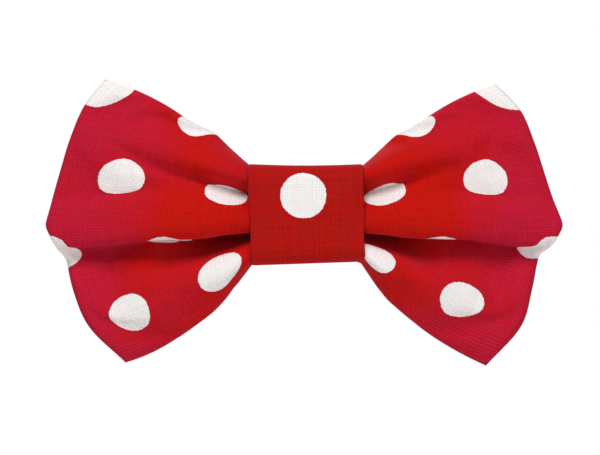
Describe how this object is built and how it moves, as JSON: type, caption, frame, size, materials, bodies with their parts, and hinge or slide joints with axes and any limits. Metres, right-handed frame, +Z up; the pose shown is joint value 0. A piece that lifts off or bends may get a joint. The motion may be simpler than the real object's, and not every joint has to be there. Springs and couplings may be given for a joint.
{
  "type": "slip-on bow tie",
  "caption": "Slip-on sewn bow tie: a lined bow gathered into a folded knot band, with a hook-and-loop strap behind that closes round a collar.",
  "frame": {"origin": "centre of the collar slot, between the back of the knot and the closed strap", "axes": "+X across the bow along the collar, +Z up, the front of the bow faces -Y"},
  "size_m": [0.1146, 0.0241, 0.0632],
  "materials": {
    "dotted_cotton": "plain-woven printed cotton, matt, white dots on red",
    "interfacing": "non-woven stiffener, matt",
    "sewing_thread": "spun polyester thread, slight sheen",
    "strap_webbing": "woven polyester tape, low sheen",
    "loop_pile": "brushed nylon loop pile",
    "hook_tape": "woven nylon with moulded hooks"
  },
  "bodies": {
    "bow": {"bow_front_panel": "dotted_cotton", "bow_back_panel": "dotted_cotton", "bow_interfacing": "interfacing", "bow_seam_stitches": "sewing_thread", "closing_stitches": "sewing_thread", "knot_band": "dotted_cotton", "knot_interfacing": "interfacing", "cinch_thread": "sewing_thread", "knot_closing_stitches": "sewing_thread", "strap_base": "strap_webbing", "loop_tape": "loop_pile", "anchor_stitches": "sewing_thread", "loop_tape_stitches": "sewing_thread"},
    "flap": {"strap_flap": "strap_webbing", "hook_tape": "hook_tape", "hook_tape_stitches": "sewing_thread"}
  },
  "joints": [
    {"name": "strap_fold", "type": "hinge", "parent": "bow", "child": "flap", "pos_m": [0, 0.00137, 0.01], "axis": [1, 0, 0], "range_deg": [0, 110]}
  ]
}
